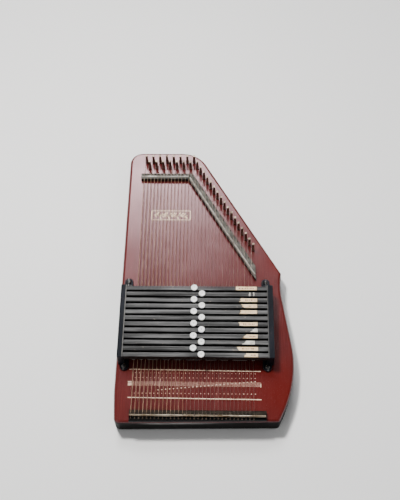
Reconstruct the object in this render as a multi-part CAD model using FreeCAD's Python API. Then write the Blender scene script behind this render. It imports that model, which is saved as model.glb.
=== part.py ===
"""Chorded zither: a flat sound box strung with 32 strings, played through 12 felted chord bars.

Modelled flat on its back. While drawing, X runs from the bass side to the treble side, Y from the
tail to the head, starting a little inside the tail's edge, and Z = 0 is the top face of the
soundboard. At export everything is moved so that the origin is the middle of the outline's box,
at the bottom of the feet. Millimetres.
"""
import FreeCAD, Part
import math
import os

V = FreeCAD.Vector

# ---------------------------------------------------------------- driving dimensions
HEAD_Y = 530.0
PLATE = 3.0
TOP_EDGE_RADIUS = 5.0
BACK_EDGE_RADIUS = 3.0
RIM_DEPTH = 29.0
FOOT_HEIGHT = 3.0
DIAGONAL_ANGLE = math.radians(60)

RIM_WIDTH = 18.0
TAIL_BLOCK_END = 30.0
PIN_BLOCK_WIDTH = 48.0
PIN_BLOCK_HEAD = 462.0
PIN_BLOCK_END = 240.0
SOUND_HOLE_RADIUS = 23.0
SOUND_HOLE_X = -8.0
BRACE_DEPTH = 12.0
BRACE_HALF_WIDTH = 5.0
TOP_BRACE_Y = (118.0, 212.0)
BACK_BRACE_Y = 300.0
LONG_BLOCK_X = (106.0, 118.0)
BRACE_END_X = -125.0
FOOT_RADIUS = 6.5
FOOT_CHAMFER = 0.8
FOOT_PLACES = [(-116.0, 24.0), (124.0, 36.0), (-116.0, 500.0), (104.0, 296.0)]

STRING_COUNT = 32
STRING_PITCH = 6.35
FIRST_STRING_X = -106.5
WOUND_COUNT = 14
THICKEST_RADIUS = 0.65
WOUND_STEP = 0.025
PLAIN_RADIUS = 0.29
PLAIN_STEP = 0.005

ROD_RADIUS = 1.6
ROD_Z = 8.0
TAIL_ROD_Y = 7.0
HEAD_ROD_Y = 469.3
HEAD_ROD_START_X = -112.5
HEAD_CORNER_X = -23.2
HEAD_BRIDGE_END_X = 97.0
TAIL_BRIDGE_X = (-110.0, 110.5)
TAIL_BRIDGE_FRONT_Y = 16.5
TAIL_BRIDGE_CHAMFER = 1.6
LEDGE_Y = 5.4
LEDGE_INSET = 0.8
LEDGE_Z = 4.8
BRIDGE_TOP = 8.0
ROD_CORNER_GAP = 2.0
ROD_END_INSET = 1.0
# Setbacks from the rod line along the straight arm and the diagonal arm of the head bridge.
FRONT_SETBACK = (-4.6, -3.2)
STRIP_START = (1.9, 1.9)
STRIP_END = (8.0, 10.0)
GUIDE_STRIP_TOP = 6.8
GUIDE_PIN_SETBACK = (4.7, 7.0)
GUIDE_PIN_RADIUS = 0.8
GUIDE_PIN_TOP = 10.6
HITCH_PIN_RADIUS = 0.9
HITCH_PIN_Y = 2.4
HITCH_PIN_TOP = 7.6
SMALL_PIN_DEPTH = 3.0

COIL_Z = (3.0, 5.5)
COIL_WALL = 0.7
COIL_ENTRY_Z = 4.3
HEAD_KINK = 0.4
TAIL_KINK = 1.7
HITCH_Z = 6.1

PIN_RADIUS = 2.5
PIN_TOP = 22.0
PIN_BOTTOM = -22.0
PIN_SHOULDER = 10.5
PIN_OFFSET = 3.0
PIN_ROW_FAR_Y = 507.0
PIN_ROW_NEAR_Y = 494.5
LAST_PIN_Y = 317.0
STRAIGHT_ROW_PINS = 16
PIN_HEAD_SHOULDER_FLAT = 4.4
PIN_HEAD_TIP_FLAT = 3.9
PIN_EYE_RADIUS = 0.5
PIN_EYE_Z = 6.9
PIN_HOLE_GAP = 0.05
PIN_HOLE_SPARE_DEPTH = 1.5
BOARD_HOLE_GAP = 0.35

BAR_COUNT = 12
BAR_PITCH = 11.11
BAR_WIDTH = 7.9
BAR_HEIGHT = 12.0
BAR_CHAMFER = 0.6
LAST_BAR_Y = 102.3
BAR_TRAVEL = 3.0
FELT_CLEARANCE = 0.25
FELT_HEIGHT = 4.0
FELT_WIDTH = 6.5
FELT_REACH = 2.6
BUTTON_RADIUS = 5.5
BUTTON_HEIGHT = 3.2
BUTTON_FILLET = 1.2
# Button places of the even and the odd bars, whose buttons are staggered.
BUTTON_X = (4.8, -8.5)

HOLDER_LEFT_X = (-133.0, -123.5)
HOLDER_RIGHT_X = (114.5, 124.5)
HOLDER_Y = (97.0, 230.1)
HOLDER_WALL = 1.6
HOLDER_CORNER_RADIUS = 1.5
CAP_CLEARANCE = 0.15
CAP_THICKNESS = 1.65
CAP_CHAMFER = 0.5
BAR_END_GAP = 0.4
LUG_THICKNESS = 3.5
LUG_RADIUS = 7.1
LUG_INBOARD = 0.5
LUG_Y = (92.8, 249.4)
SLIDE_GAP = 0.25

SPRING_RADIUS = 2.8
SPRING_WALL = 0.6
SCREW_RADIUS = 1.6
SCREW_DEPTH = 14.0
SCREW_HEAD_RADIUS = 4.1
SCREW_HEAD_HEIGHT = 2.9
SCREW_SLOT_WIDTH = 1.2
SCREW_SLOT_DEPTH = 1.2

TOUCH_GAP = 0.05
FACE_TOLERANCE = 0.01
FAR = 2 * HEAD_Y

# ---------------------------------------------------------------- derived levels and lines
BACK_TOP = -PLATE - RIM_DEPTH
BACK_BOTTOM = BACK_TOP - PLATE
FLOOR_Z = BACK_BOTTOM - FOOT_HEIGHT
ROD_TOP = ROD_Z + ROD_RADIUS
STRING_TOP = ROD_TOP + TOUCH_GAP + 2 * THICKEST_RADIUS
FELT_BOTTOM = STRING_TOP + BAR_TRAVEL + FELT_CLEARANCE
BAR_BOTTOM = FELT_BOTTOM + FELT_HEIGHT
BAR_TOP = BAR_BOTTOM + BAR_HEIGHT
CAP_Z = BAR_TOP + CAP_CLEARANCE
HOLDER_TOP = CAP_Z + CAP_THICKNESS
ALONG_DIAGONAL = V(math.cos(DIAGONAL_ANGLE), -math.sin(DIAGONAL_ANGLE), 0)
ACROSS_DIAGONAL = V(math.sin(DIAGONAL_ANGLE), math.cos(DIAGONAL_ANGLE), 0)
HEAD_CORNER = V(HEAD_CORNER_X, HEAD_ROD_Y, 0)

# The plan outline, corner by corner with each corner's radius, from the bass side of the tail.
DIAGONAL_START = V(142.3, 271.5, 0)
# The tail's edge runs slightly askew to the bars.
TAIL_BASS = V(-134.4, -3.6, 0)
TAIL_TREBLE = V(131.2, 0.8, 0)
OUTLINE = [
    (TAIL_BASS.x, TAIL_BASS.y, 9),
    (TAIL_TREBLE.x, TAIL_TREBLE.y, 5.5),
    (166.0, 74.0, 210),
    (139.3, 241.0, 150),
    (DIAGONAL_START.x, DIAGONAL_START.y, 6),
    (-6.9, HEAD_Y, 52),
    (-135.2, HEAD_Y, 23),
    (-137.4, 46.5, 200),
]

# Each string's pitch class, from the bass, as semitones above C: 11 spread notes, then chromatic.
BASS_NOTES = [5, 7, 0, 2, 4, 5, 6, 7, 9, 10, 11]
STRING_NOTES = BASS_NOTES + [i % 12 for i in range(STRING_COUNT - len(BASS_NOTES))]
MAJOR = (0, 4, 7)
MINOR = (0, 3, 7)
SEVENTH = (0, 4, 7, 10)
# Root note and kind of the chord that each bar leaves ringing, from the head to the tail.
CHORDS = [
    (7, MINOR), (10, MAJOR), (9, SEVENTH), (0, SEVENTH), (2, MINOR), (5, MAJOR),
    (4, SEVENTH), (7, SEVENTH), (9, MINOR), (0, MAJOR), (2, SEVENTH), (7, MAJOR),
]


# ---------------------------------------------------------------- helpers
def box(x, y, z):
    """A box between two X, two Y and two Z values."""
    return Part.makeBox(x[1] - x[0], y[1] - y[0], z[1] - z[0], V(x[0], y[0], z[0]))


def cylinder(radius, x, y, z):
    """An upright cylinder between two Z values."""
    return Part.makeCylinder(radius, z[1] - z[0], V(x, y, z[0]))


def prism(points, z):
    """A straight-sided plan polygon extruded between two Z values."""
    ring = [V(x, y, z[0]) for x, y in points]
    face = Part.Face(Part.makePolygon(ring + ring[:1]))
    return face.extrude(V(0, 0, z[1] - z[0]))


def rounded_wire(corners, z):
    """A closed plan outline whose corners are arcs of the given radii."""
    points = [V(x, y, z) for x, y, r in corners]
    starts, middles, ends = [], [], []
    for i, (x, y, radius) in enumerate(corners):
        here = points[i]
        come = (here - points[i - 1]).normalize()
        leave = (points[(i + 1) % len(points)] - here).normalize()
        half_turn = come.getAngle(leave) / 2
        reach = radius * math.tan(half_turn)
        inward = (leave - come).normalize()
        centre = here + inward * (radius / math.cos(half_turn))
        starts.append(here - come * reach)
        middles.append(centre - inward * radius)
        ends.append(here + leave * reach)
    edges = []
    for i in range(len(corners)):
        edges.append(Part.Arc(starts[i], middles[i], ends[i]).toShape())
        edges.append(Part.LineSegment(ends[i], starts[(i + 1) % len(corners)]).toShape())
    return Part.Wire(edges)


def outline_solid(z, inset=0.0):
    """The body's outline, or the same outline moved inwards, extruded between two Z values."""
    face = Part.Face(rounded_wire(OUTLINE, z[0]))
    if inset:
        face = face.makeOffset2D(-inset)
    return face.extrude(V(0, 0, z[1] - z[0]))


def rod_between(a, b, radius):
    """A round bar from one point to another."""
    return Part.makeCylinder(radius, (b - a).Length, a, b - a)


def edges_at_z(shape, z):
    """The edges whose middle lies at this height."""
    return [edge for edge in shape.Edges if abs(edge.CenterOfMass.z - z) < FACE_TOLERANCE]


# ---------------------------------------------------------------- where the strings run
def string_x(k):
    return FIRST_STRING_X + STRING_PITCH * k


def string_radius(k):
    if k < WOUND_COUNT:
        return THICKEST_RADIUS - WOUND_STEP * k
    return PLAIN_RADIUS - PLAIN_STEP * (k - WOUND_COUNT)


def head_line_y(x, straight, diagonal):
    """Y at this X on the head bridge's bent line, set back from the rod on each of its arms."""
    corner_x = HEAD_CORNER_X + (diagonal - straight * ACROSS_DIAGONAL.y) / ACROSS_DIAGONAL.x
    if x <= corner_x:
        return HEAD_ROD_Y + straight
    return HEAD_ROD_Y + (diagonal - (x - HEAD_CORNER_X) * ACROSS_DIAGONAL.x) / ACROSS_DIAGONAL.y


def pin_place(k):
    """Plan position of the tuning pin of string k: two straight rows, then a diagonal one."""
    x = string_x(k) + PIN_OFFSET
    if k < STRAIGHT_ROW_PINS:
        return x, (PIN_ROW_FAR_Y, PIN_ROW_NEAR_Y)[k % 2]
    last_x = string_x(STRING_COUNT - 1) + PIN_OFFSET
    return x, LAST_PIN_Y + (last_x - x) * math.tan(DIAGONAL_ANGLE)


def bar_y(n):
    """Y of chord bar n, where bar 1 is nearest the head."""
    return LAST_BAR_Y + BAR_PITCH * (BAR_COUNT - n)


# ---------------------------------------------------------------- sound box
def lug_centres(holder_x):
    """Plan positions of a holder's two screw lugs, set just inboard of its rail."""
    left = holder_x[0] < 0
    x = holder_x[1] + LUG_INBOARD if left else holder_x[0] - LUG_INBOARD
    return [(x, y) for y in LUG_Y]


def screw_places():
    return lug_centres(HOLDER_LEFT_X) + lug_centres(HOLDER_RIGHT_X)


def screw_holes():
    z = (-SCREW_DEPTH, LUG_THICKNESS)
    return [cylinder(SCREW_RADIUS, x, y, z) for x, y in screw_places()]


def pin_holes(gap, z):
    return [cylinder(PIN_RADIUS + gap, *pin_place(k), z) for k in range(STRING_COUNT)]


def body_hull():
    """The whole sound box's outside, with its top and back edges rounded over."""
    hull = outline_solid((BACK_BOTTOM, 0))
    hull = hull.makeFillet(TOP_EDGE_RADIUS, edges_at_z(hull, 0))
    return hull.makeFillet(BACK_EDGE_RADIUS, edges_at_z(hull, BACK_BOTTOM))


def layer(hull, z):
    """The hull's part between two Z values."""
    return hull.common(box((-FAR, FAR), (-FAR, FAR), z))


def make_soundboard(hull):
    board = layer(hull, (-PLATE, 0))
    hole_y = (bar_y(1) + bar_y(BAR_COUNT)) / 2
    sound_hole = cylinder(SOUND_HOLE_RADIUS, SOUND_HOLE_X, hole_y, (-PLATE, 0))
    return board.cut([sound_hole] + pin_holes(BOARD_HOLE_GAP, (-PLATE, 0)) + screw_holes())


def make_back_board(hull):
    return layer(hull, (BACK_BOTTOM, BACK_TOP))


def pin_block_zone():
    """Plan polygon that holds the head and the diagonal side, down to the end of the pin block."""
    shift = PIN_BLOCK_WIDTH / math.sin(DIAGONAL_ANGLE)

    def inner_x(y):
        return DIAGONAL_START.x - (y - DIAGONAL_START.y) / math.tan(DIAGONAL_ANGLE) - shift

    return [
        (-FAR, FAR), (-FAR, PIN_BLOCK_HEAD), (inner_x(PIN_BLOCK_HEAD), PIN_BLOCK_HEAD),
        (inner_x(PIN_BLOCK_END), PIN_BLOCK_END), (FAR, PIN_BLOCK_END), (FAR, FAR),
    ]


def make_pin_block(hull):
    z = (BACK_TOP, -PLATE)
    block = hull.common(prism(pin_block_zone(), z))
    hole_z = (PIN_BOTTOM - PIN_HOLE_SPARE_DEPTH, -PLATE)
    return block.cut(pin_holes(PIN_HOLE_GAP, hole_z) + screw_holes())


def make_side_rails(hull):
    z = (BACK_TOP, -PLATE)
    ring = layer(hull, z).cut(outline_solid(z, RIM_WIDTH))
    bass_y = (TAIL_BLOCK_END, PIN_BLOCK_HEAD)
    treble_y = (TAIL_BLOCK_END, PIN_BLOCK_END)
    bass = ring.common(box((-FAR, 0), bass_y, z))
    treble = ring.common(box((0, FAR), treble_y, z))
    return Part.makeCompound([bass.cut(screw_holes()), treble])


def make_tail_block(hull):
    return hull.common(box((-FAR, FAR), (-FAR, TAIL_BLOCK_END), (BACK_TOP, -PLATE)))


def make_braces(rim):
    """A long block and two cross braces under the soundboard, and a cross brace on the back."""
    top_z = (-PLATE - BRACE_DEPTH, -PLATE)
    back_z = (BACK_TOP, BACK_TOP + BRACE_DEPTH)
    cross_x = (BRACE_END_X, LONG_BLOCK_X[0])
    long_block = box(LONG_BLOCK_X, (TAIL_BLOCK_END, PIN_BLOCK_END), top_z)
    pieces = [long_block.cut(screw_holes())]
    for y in TOP_BRACE_Y:
        cross = box(cross_x, (y - BRACE_HALF_WIDTH, y + BRACE_HALF_WIDTH), top_z)
        pieces.append(cross.cut(rim))
    back_y = (BACK_BRACE_Y - BRACE_HALF_WIDTH, BACK_BRACE_Y + BRACE_HALF_WIDTH)
    pieces.append(box(cross_x, back_y, back_z).cut(rim))
    return Part.makeCompound(pieces)


def make_feet():
    feet = []
    for x, y in FOOT_PLACES:
        foot = cylinder(FOOT_RADIUS, x, y, (FLOOR_Z, BACK_BOTTOM))
        feet.append(foot.makeChamfer(FOOT_CHAMFER, edges_at_z(foot, FLOOR_Z)))
    return Part.makeCompound(feet)


# ---------------------------------------------------------------- bridges, rods and small pins
def bent_line(setback):
    """The head bridge's line at this setback: bass end, corner, treble end."""
    straight, diagonal = setback
    corner_x = HEAD_CORNER_X + (diagonal - straight * ACROSS_DIAGONAL.y) / ACROSS_DIAGONAL.x
    return [
        (HEAD_ROD_START_X, HEAD_ROD_Y + straight),
        (corner_x, HEAD_ROD_Y + straight),
        (HEAD_BRIDGE_END_X, head_line_y(HEAD_BRIDGE_END_X, straight, diagonal)),
    ]


def bent_strip(front, back, top):
    """The strip between two setbacks, as one straight solid for each arm."""
    a = bent_line(front)
    b = bent_line(back)
    return [prism([a[i], a[i + 1], b[i + 1], b[i]], (0, top)) for i in (0, 1)]


def guide_pins():
    pins = []
    z = (GUIDE_STRIP_TOP - SMALL_PIN_DEPTH, GUIDE_PIN_TOP)
    for k in range(STRING_COUNT):
        y = head_line_y(string_x(k), *GUIDE_PIN_SETBACK)
        x = string_x(k) + string_radius(k) + GUIDE_PIN_RADIUS + TOUCH_GAP
        pins.append(cylinder(GUIDE_PIN_RADIUS, x, y, z))
    return pins


def hitch_pins():
    z = (LEDGE_Z - SMALL_PIN_DEPTH, HITCH_PIN_TOP)
    return [cylinder(HITCH_PIN_RADIUS, string_x(k), HITCH_PIN_Y, z) for k in range(STRING_COUNT)]


def head_rods():
    up = V(0, 0, ROD_Z)
    end_x = HEAD_BRIDGE_END_X - ROD_END_INSET
    bass_end = V(HEAD_ROD_START_X, HEAD_ROD_Y, 0)
    treble_end = V(end_x, head_line_y(end_x, 0, 0), 0)
    past_corner = HEAD_CORNER + ALONG_DIAGONAL * ROD_CORNER_GAP
    straight = rod_between(bass_end + up, HEAD_CORNER + up, ROD_RADIUS)
    diagonal = rod_between(past_corner + up, treble_end + up, ROD_RADIUS)
    return [straight, diagonal]


def tail_rod():
    a = V(TAIL_BRIDGE_X[0] + ROD_END_INSET, TAIL_ROD_Y, ROD_Z)
    b = V(TAIL_BRIDGE_X[1] - ROD_END_INSET, TAIL_ROD_Y, ROD_Z)
    return rod_between(a, b, ROD_RADIUS)


def make_head_bridge():
    pieces = []
    for arm in bent_strip(FRONT_SETBACK, STRIP_START, BRIDGE_TOP):
        pieces.append(arm.cut(head_rods()))
    for arm in bent_strip(STRIP_START, STRIP_END, GUIDE_STRIP_TOP):
        pieces.append(arm.cut(guide_pins()))
    return Part.makeCompound(pieces)


def tail_edge_y(x):
    """Y of the body's tail edge at this X."""
    rise = (TAIL_TREBLE.y - TAIL_BASS.y) / (TAIL_TREBLE.x - TAIL_BASS.x)
    return TAIL_BASS.y + (x - TAIL_BASS.x) * rise


def make_tail_bridge():
    bar = box(TAIL_BRIDGE_X, (LEDGE_Y, TAIL_BRIDGE_FRONT_Y), (0, BRIDGE_TOP))
    front_y = TAIL_BRIDGE_FRONT_Y - FACE_TOLERANCE
    front = [e for e in edges_at_z(bar, BRIDGE_TOP) if e.CenterOfMass.y > front_y]
    edge = [(x, tail_edge_y(x) + LEDGE_INSET) for x in TAIL_BRIDGE_X]
    ledge = prism(edge + [(x, LEDGE_Y) for x in reversed(TAIL_BRIDGE_X)], (0, LEDGE_Z))
    whole = bar.makeChamfer(TAIL_BRIDGE_CHAMFER, front).fuse(ledge).removeSplitter()
    return whole.cut([tail_rod()] + hitch_pins())


# ---------------------------------------------------------------- strings
def make_string(k):
    """One string from its hitch pin over both rods to a coil round its tuning pin."""
    x = string_x(k)
    r = string_radius(k)
    high = ROD_TOP + r + TOUCH_GAP
    pin_x, pin_y = pin_place(k)
    route = [
        V(x, HITCH_PIN_Y + HITCH_PIN_RADIUS + TOUCH_GAP + r, HITCH_Z),
        V(x, TAIL_ROD_Y - TAIL_KINK, high),
        V(x, head_line_y(x, 0, 0) + HEAD_KINK, high),
        V(x, pin_y, COIL_ENTRY_Z),
    ]
    pieces = []
    for a, b in zip(route, route[1:]):
        pieces.append(rod_between(a, b, r))
    for bend in route[1:-1]:
        pieces.append(Part.makeSphere(r, bend))
    clear = PIN_RADIUS + PIN_HOLE_GAP
    room = cylinder(clear, pin_x, pin_y, (0, PIN_TOP))
    coil = cylinder(clear + COIL_WALL, pin_x, pin_y, COIL_Z)
    return coil.fuse(pieces).cut(room)


# ---------------------------------------------------------------- tuning pins
def square(side, x, y, z):
    half = side / 2
    corners = [(-half, -half), (half, -half), (half, half), (-half, half)]
    ring = [V(x + dx, y + dy, z) for dx, dy in corners]
    return Part.makePolygon(ring + ring[:1])


def make_tuning_pin(k):
    """A round pin with a string eye and a slightly tapered square head for the key."""
    x, y = pin_place(k)
    shank = cylinder(PIN_RADIUS, x, y, (PIN_BOTTOM, PIN_SHOULDER))
    shoulder = square(PIN_HEAD_SHOULDER_FLAT, x, y, PIN_SHOULDER)
    tip = square(PIN_HEAD_TIP_FLAT, x, y, PIN_TOP)
    taper = Part.makeLoft([shoulder, tip], True)
    head = taper.common(cylinder(PIN_RADIUS, x, y, (PIN_SHOULDER, PIN_TOP)))
    eye_end = V(2 * PIN_RADIUS, 0, 0)
    eye_middle = V(x, y, PIN_EYE_Z)
    eye = rod_between(eye_middle - eye_end, eye_middle + eye_end, PIN_EYE_RADIUS)
    return shank.fuse(head).cut(eye)


# ---------------------------------------------------------------- chord bars and their holders
def bar_span():
    left = HOLDER_LEFT_X[0] + HOLDER_WALL + BAR_END_GAP
    right = HOLDER_RIGHT_X[1] - HOLDER_WALL - BAR_END_GAP
    return left, right


def felt_runs(n):
    """Groups of neighbouring strings that bar n mutes, as first and last string numbers."""
    root, kind = CHORDS[n - 1]
    ringing = {(root + step) % 12 for step in kind}
    runs = []
    for k, note in enumerate(STRING_NOTES):
        if note in ringing:
            continue
        if runs and runs[-1][1] == k - 1:
            runs[-1][1] = k
        else:
            runs.append([k, k])
    return runs


def make_chord_bar(n):
    """A wooden bar, its button and the felt pads glued underneath."""
    y = bar_y(n)
    bar = box(bar_span(), (y - BAR_WIDTH / 2, y + BAR_WIDTH / 2), (BAR_BOTTOM, BAR_TOP))
    long_top = [e for e in edges_at_z(bar, BAR_TOP) if e.Length > BAR_WIDTH + FACE_TOLERANCE]
    bar = bar.makeChamfer(BAR_CHAMFER, long_top)
    button_top = BAR_TOP + BUTTON_HEIGHT
    button = cylinder(BUTTON_RADIUS, BUTTON_X[n % 2], y, (BAR_TOP, button_top))
    pieces = [bar, button.makeFillet(BUTTON_FILLET, edges_at_z(button, button_top))]
    for first, last in felt_runs(n):
        span = (string_x(first) - FELT_REACH, string_x(last) + FELT_REACH)
        pieces.append(box(span, (y - FELT_WIDTH / 2, y + FELT_WIDTH / 2), (FELT_BOTTOM, BAR_BOTTOM)))
    return Part.makeCompound(pieces)


def make_holder(holder_x):
    """One end's holder: a plate with two lugs, an outer wall, and blocks between and beyond the bars."""
    lugs = lug_centres(holder_x)
    lug_x = lugs[0][0]
    plate = box((lug_x - LUG_RADIUS, lug_x + LUG_RADIUS), LUG_Y, (0, LUG_THICKNESS))
    rounds = [cylinder(LUG_RADIUS, x, y, (0, LUG_THICKNESS)) for x, y in lugs]
    foot = box(holder_x, HOLDER_Y, (0, LUG_THICKNESS))
    base = plate.fuse(rounds + [foot]).removeSplitter().cut(screw_holes())
    z = (LUG_THICKNESS, BAR_TOP)
    rail = rounded_rail(holder_x, z)
    inner_x = (HOLDER_LEFT_X[0] + HOLDER_WALL, HOLDER_RIGHT_X[1] - HOLDER_WALL)
    inside = box(inner_x, HOLDER_Y, z)
    half = BAR_WIDTH / 2 + SLIDE_GAP
    slots = [box(inner_x, (bar_y(n) - half, bar_y(n) + half), z) for n in range(1, BAR_COUNT + 1)]
    return [base, rail.cut(inside)] + rail.common(inside).cut(slots).Solids


def rounded_rail(holder_x, z):
    """The rail's plan block, with its corners rounded."""
    block = box(holder_x, HOLDER_Y, z)
    return block.makeFillet(HOLDER_CORNER_RADIUS, edges_at_z(block, (z[0] + z[1]) / 2))


def make_holder_cap(holder_x):
    """The lid that stops the bars at the top of their travel."""
    cap = rounded_rail(holder_x, (CAP_Z, HOLDER_TOP))
    width = holder_x[1] - holder_x[0]
    long_top = [e for e in edges_at_z(cap, HOLDER_TOP) if e.Length > width]
    return cap.makeChamfer(CAP_CHAMFER, long_top)


def make_bar_holders():
    solids = []
    for holder_x in (HOLDER_LEFT_X, HOLDER_RIGHT_X):
        solids += make_holder(holder_x)
        solids.append(make_holder_cap(holder_x))
    return Part.makeCompound(solids)


def make_bar_springs():
    """One small upright coil spring under each end of each bar, as its outer envelope."""
    left_x = (bar_span()[0] + HOLDER_LEFT_X[1]) / 2
    right_x = (bar_span()[1] + HOLDER_RIGHT_X[0]) / 2
    z = (LUG_THICKNESS, BAR_BOTTOM)
    springs = []
    for n in range(1, BAR_COUNT + 1):
        for x in (left_x, right_x):
            outer = cylinder(SPRING_RADIUS, x, bar_y(n), z)
            springs.append(outer.cut(cylinder(SPRING_RADIUS - SPRING_WALL, x, bar_y(n), z)))
    return Part.makeCompound(springs)


def make_holder_screws():
    """Four round-head wood screws with a driver slot."""
    dome_radius = (SCREW_HEAD_RADIUS ** 2 + SCREW_HEAD_HEIGHT ** 2) / (2 * SCREW_HEAD_HEIGHT)
    top = LUG_THICKNESS + SCREW_HEAD_HEIGHT
    half_slot = SCREW_SLOT_WIDTH / 2
    screws = []
    for x, y in screw_places():
        ball = Part.makeSphere(dome_radius, V(x, y, top - dome_radius))
        head = ball.common(cylinder(SCREW_HEAD_RADIUS, x, y, (LUG_THICKNESS, top)))
        slot_y = (y - SCREW_HEAD_RADIUS, y + SCREW_HEAD_RADIUS)
        slot = box((x - half_slot, x + half_slot), slot_y, (top - SCREW_SLOT_DEPTH, top))
        shank = cylinder(SCREW_RADIUS, x, y, (-SCREW_DEPTH, LUG_THICKNESS))
        screws.append(head.fuse(shank).cut(slot))
    return Part.makeCompound(screws)


# ---------------------------------------------------------------- write every node
def all_nodes():
    hull = body_hull()
    pin_block = make_pin_block(hull)
    side_rails = make_side_rails(hull)
    strings = [make_string(k) for k in range(STRING_COUNT)]
    nodes = {
        "soundboard": make_soundboard(hull),
        "back_board": make_back_board(hull),
        "pin_block": pin_block,
        "side_rails": side_rails,
        "tail_block": make_tail_block(hull),
        "braces": make_braces([pin_block, side_rails]),
        "feet": make_feet(),
        "head_bridge": make_head_bridge(),
        "tail_bridge": make_tail_bridge(),
        "bridge_rods": Part.makeCompound(head_rods() + [tail_rod()]),
        "string_pins": Part.makeCompound(guide_pins() + hitch_pins()),
        "wound_strings": Part.makeCompound(strings[:WOUND_COUNT]),
        "plain_strings": Part.makeCompound(strings[WOUND_COUNT:]),
        "bar_holders": make_bar_holders(),
        "bar_springs": make_bar_springs(),
        "holder_screws": make_holder_screws(),
    }
    for n in range(1, BAR_COUNT + 1):
        nodes[f"chord_bar_{n:02d}"] = make_chord_bar(n)
    for k in range(STRING_COUNT):
        nodes[f"tuning_pin_{k + 1:02d}"] = make_tuning_pin(k)
    return nodes


def main():
    os.makedirs("parts", exist_ok=True)
    outline = rounded_wire(OUTLINE, 0).BoundBox
    origin = V((outline.XMin + outline.XMax) / 2, (outline.YMin + outline.YMax) / 2, FLOOR_Z)
    for name, shape in all_nodes().items():
        placed = shape.copy()
        placed.translate(-origin)
        placed.exportStep(f"parts/{name}.step")
        print(name, len(placed.Solids), placed.isValid(), round(placed.Volume / 1000, 3), "cm3")
    print("outline", outline, "origin", origin)


main()
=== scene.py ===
import math
import random

import bmesh
import bpy
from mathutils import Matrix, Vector


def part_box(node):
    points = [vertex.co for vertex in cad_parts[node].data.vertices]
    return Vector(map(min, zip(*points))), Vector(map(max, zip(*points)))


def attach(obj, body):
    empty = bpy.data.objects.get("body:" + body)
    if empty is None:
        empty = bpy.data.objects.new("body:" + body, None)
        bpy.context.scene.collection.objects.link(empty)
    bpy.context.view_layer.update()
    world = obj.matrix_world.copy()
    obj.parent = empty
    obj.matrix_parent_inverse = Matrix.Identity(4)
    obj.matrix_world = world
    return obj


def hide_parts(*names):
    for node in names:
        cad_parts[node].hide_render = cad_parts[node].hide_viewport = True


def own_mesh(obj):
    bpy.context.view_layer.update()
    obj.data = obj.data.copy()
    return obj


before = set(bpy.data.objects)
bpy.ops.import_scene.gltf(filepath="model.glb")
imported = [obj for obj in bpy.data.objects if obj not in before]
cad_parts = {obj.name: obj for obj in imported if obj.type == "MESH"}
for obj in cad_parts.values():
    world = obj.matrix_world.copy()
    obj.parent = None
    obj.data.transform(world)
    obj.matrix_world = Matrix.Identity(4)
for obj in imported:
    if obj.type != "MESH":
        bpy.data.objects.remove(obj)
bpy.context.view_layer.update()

# -------- places and sizes
# Places are given as the instrument is drawn: millimetres across from the middle of the tail end,
# up the body from just inside the tail edge, and above the top of the soundboard. place() gives
# the row frame.
MM = 0.001
BODY = "sound_box"
# Where the bridge rods' box starts: the corner that ties these millimetres to the row frame.
ROD_START_X = -112.5
ROD_START_Y = 5.4
MIDDLE_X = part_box("bridge_rods")[0].x - ROD_START_X * MM
START_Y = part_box("bridge_rods")[0].y - ROD_START_Y * MM
TOP_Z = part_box("soundboard")[1].z

STRING_COUNT = 32
WOUND_COUNT = 14
PIN_OFFSET = 3.0
THICKEST_RADIUS = 0.65
WOUND_STEP = 0.025
PLAIN_RADIUS = 0.29
PLAIN_STEP = 0.005
CORE_RADIUS = 0.28
PIN_RADIUS = 2.5
PIN_EYE_Z = 6.9
COIL_ENTRY_Z = 4.3

ROD_RADIUS = 1.6
DIAGONAL_ANGLE = math.radians(60)
HEAD_CORNER_X = -23.2
GUIDE_SETBACK = (4.7, 7.0)
STRIP_TOP = 6.8
HITCH_PIN_RADIUS = 0.9
HITCH_PIN_Y = 2.4
HITCH_LOOP_Z = 5.4
THROAT = (4.5, 5.8)
WINDING_INSET = (4.0, 6.5)
TOUCH_GAP = 0.03

BAR_COUNT = 12
BUTTON_HEIGHT = 3.2
BUTTON_X = (4.8, -8.5)
BAR_HEIGHT = 12.0
BAR_WIDTH = 7.9
FELT_REACH = 2.6
FELT_WIDTH = 6.5

# Each string's pitch class, from the bass, and the chord that each bar leaves ringing.
BASS_NOTES = [5, 7, 0, 2, 4, 5, 6, 7, 9, 10, 11]
STRING_NOTES = BASS_NOTES + [i % 12 for i in range(STRING_COUNT - len(BASS_NOTES))]
MAJOR = (0, 4, 7)
MINOR = (0, 3, 7)
SEVENTH = (0, 4, 7, 10)
CHORDS = [
    (7, MINOR), (10, MAJOR), (9, SEVENTH), (0, SEVENTH), (2, MINOR), (5, MAJOR),
    (4, SEVENTH), (7, SEVENTH), (9, MINOR), (0, MAJOR), (2, SEVENTH), (7, MAJOR),
]


def place(x, y, z=0.0):
    """Row-frame point of a place on the instrument, given in millimetres."""
    return Vector((MIDDLE_X + x * MM, START_Y + y * MM, TOP_Z + z * MM))


def drawn(point):
    """The instrument's own millimetres for a row-frame point."""
    return ((point.x - MIDDLE_X) / MM, (point.y - START_Y) / MM, (point.z - TOP_Z) / MM)


def middle(node):
    """The middle of a CAD node's box, in the instrument's millimetres."""
    low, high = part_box(node)
    return drawn((low + high) / 2)


RODS_LOW = drawn(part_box("bridge_rods")[0])
RODS_HIGH = drawn(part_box("bridge_rods")[1])
TAIL_ROD_Y = RODS_LOW[1] + ROD_RADIUS
HEAD_ROD_Y = RODS_HIGH[1] - ROD_RADIUS
ROD_Z = RODS_HIGH[2] - ROD_RADIUS
PIN_PLACES = [middle(f"tuning_pin_{k + 1:02d}") for k in range(STRING_COUNT)]


def string_x(k):
    """A string runs straight up the body, beside its pin."""
    return PIN_PLACES[k][0] - PIN_OFFSET


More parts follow.
